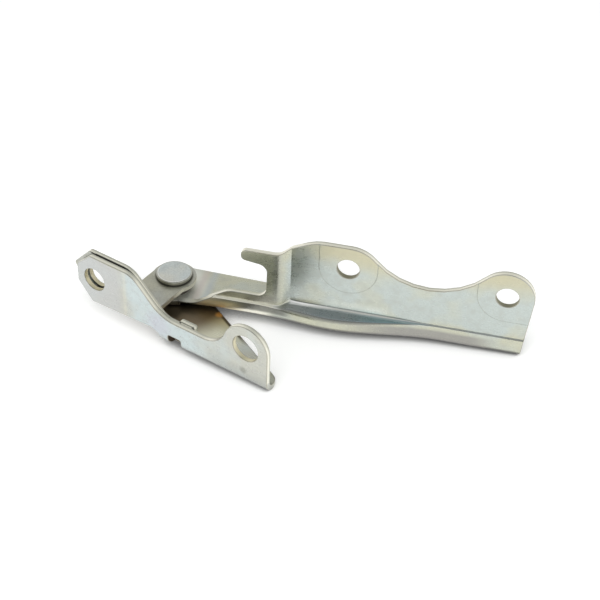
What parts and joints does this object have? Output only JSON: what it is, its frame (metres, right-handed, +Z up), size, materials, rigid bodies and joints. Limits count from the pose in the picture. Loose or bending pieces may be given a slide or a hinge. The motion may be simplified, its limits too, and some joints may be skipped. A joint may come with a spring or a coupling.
{
  "type": "bonnet hinge",
  "caption": "Zinc-plated pressed-steel bonnet hinge: a folded body bracket with a forked, riveted pivot and a long flanged arm that swings to raise the bonnet.",
  "frame": {"origin": "on the pivot axis, at the flat lower face of the rivet's lower head", "axes": "+Z up along the pivot axis; +X along the body bracket from the pivot towards its right lug; +Y inwards, away from the bracket's outer mounting face"},
  "size_m": [0.1797, 0.091, 0.0475],
  "materials": {
    "bracket_zinc": "clear-passivated zinc plating on pressed steel, satin with faint yellow and blue tints",
    "arm_zinc": "clear-passivated zinc plating on pressed steel, satin with faint yellow and blue tints",
    "rivet_zinc": "satin zinc plating with fine forming marks",
    "bush_lined": "dull dark grey lined steel bush",
    "washer_steel": "plain oiled steel",
    "spring_steel": "dark hardened spring steel"
  },
  "bodies": {
    "bracket": {"base_plate": "bracket_zinc", "ear_plate": "bracket_zinc", "pivot_rivet": "rivet_zinc", "lower_washer": "washer_steel", "upper_washer": "washer_steel", "wave_washer": "spring_steel"},
    "arm": {"hinge_arm": "arm_zinc", "pivot_bush": "bush_lined"}
  },
  "joints": [
    {"name": "pivot", "type": "hinge", "parent": "bracket", "child": "arm", "pos_m": [0, 0, 0], "axis": [0, 0, 1], "range_deg": [-21, 50]}
  ]
}
